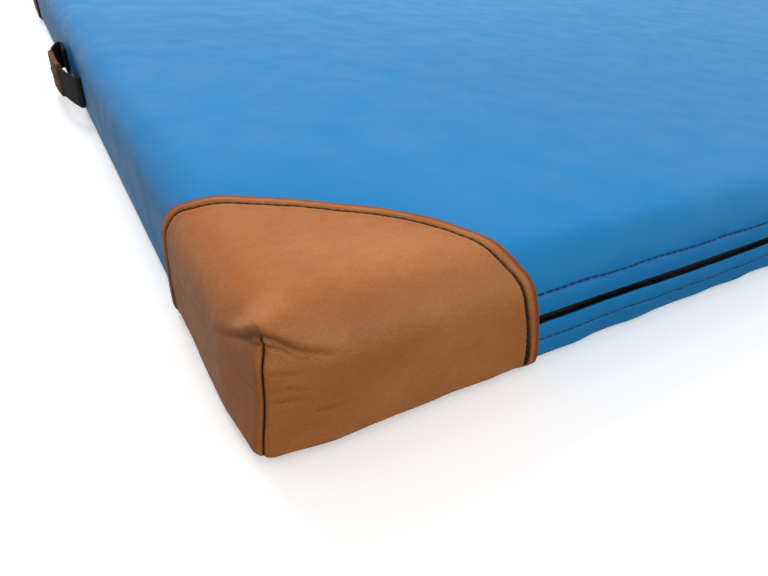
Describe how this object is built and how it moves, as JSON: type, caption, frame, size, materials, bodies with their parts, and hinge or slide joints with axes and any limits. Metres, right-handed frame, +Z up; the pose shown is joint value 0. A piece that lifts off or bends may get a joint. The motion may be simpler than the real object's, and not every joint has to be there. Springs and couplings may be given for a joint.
{
  "type": "gym mat",
  "caption": "Padded gym mat: a foam slab in a blue zipped vinyl cover, with tan leather corners and a webbing carry handle on each short side.",
  "frame": {"origin": "centre of the underside, on the floor", "axes": "+X along the long sides, +Y across the mat away from the zip, +Z up"},
  "size_m": [2.0428, 1.1564, 0.0832],
  "materials": {
    "foam": "open-cell foam",
    "vinyl": "coated fabric with a fine leather grain, semi-gloss",
    "base": "dimpled anti-slip sheet",
    "leather": "smooth tan leather, semi-matte",
    "grip_leather": "worn brown leather",
    "webbing": "woven polypropylene webbing",
    "brown_thread": "waxed thread",
    "blue_thread": "polyester thread",
    "black_thread": "polyester thread",
    "zip_tape": "woven tape",
    "zip_coil": "nylon",
    "zip_metal": "black enamel"
  },
  "bodies": {
    "mat": {"base_sheet": "base", "base_thread": "blue_thread", "corner_thread_back_left": "brown_thread", "corner_thread_back_right": "brown_thread", "corner_thread_front_left": "brown_thread", "corner_thread_front_right": "brown_thread", "cover_front_strip": "vinyl", "cover_top": "vinyl", "foam_core": "foam", "handle_left_end_back": "webbing", "handle_left_end_front": "webbing", "handle_left_end_thread": "black_thread", "handle_right_end_back": "webbing", "handle_right_end_front": "webbing", "handle_right_end_thread": "black_thread", "leather_corner_back_left": "leather", "leather_corner_back_right": "leather", "leather_corner_front_left": "leather", "leather_corner_front_right": "leather", "zip_closed_end_stop": "zip_coil", "zip_coil_lower": "zip_coil", "zip_coil_upper": "zip_coil", "zip_open_end_stop": "zip_coil", "zip_tape_lower": "zip_tape", "zip_tape_upper": "zip_tape", "zip_thread_lower": "blue_thread", "zip_thread_upper": "blue_thread"},
    "zip_slider": {"zip_slider": "zip_metal"},
    "zip_pull": {"zip_pull": "zip_metal"},
    "handle_left": {"handle_left_strap": "webbing", "handle_left_grip": "grip_leather", "handle_left_grip_thread": "brown_thread"},
    "handle_right": {"handle_right_strap": "webbing", "handle_right_grip": "grip_leather", "handle_right_grip_thread": "brown_thread"}
  },
  "joints": [
    {"name": "zip_slide", "type": "slide", "parent": "mat", "child": "zip_slider", "axis": [1, 0, 0], "range_m": [-1.6, 0]},
    {"name": "zip_pull_hinge", "type": "hinge", "parent": "zip_slider", "child": "zip_pull", "pos_m": [0.8, -0.57325, 0.038], "axis": [0, 0, 1], "range_deg": [0, 180]},
    {"name": "handle_left_hinge", "type": "hinge", "parent": "mat", "child": "handle_left", "pos_m": [-1, 0, 0.03], "axis": [0, 1, 0], "range_deg": [-40, 40], "stiffness_Nm_per_rad": 0.3, "deforming": ["handle_left_strap"]},
    {"name": "handle_right_hinge", "type": "hinge", "parent": "mat", "child": "handle_right", "pos_m": [1, 0, 0.03], "axis": [0, 1, 0], "range_deg": [-40, 40], "stiffness_Nm_per_rad": 0.3, "deforming": ["handle_right_strap"]}
  ]
}
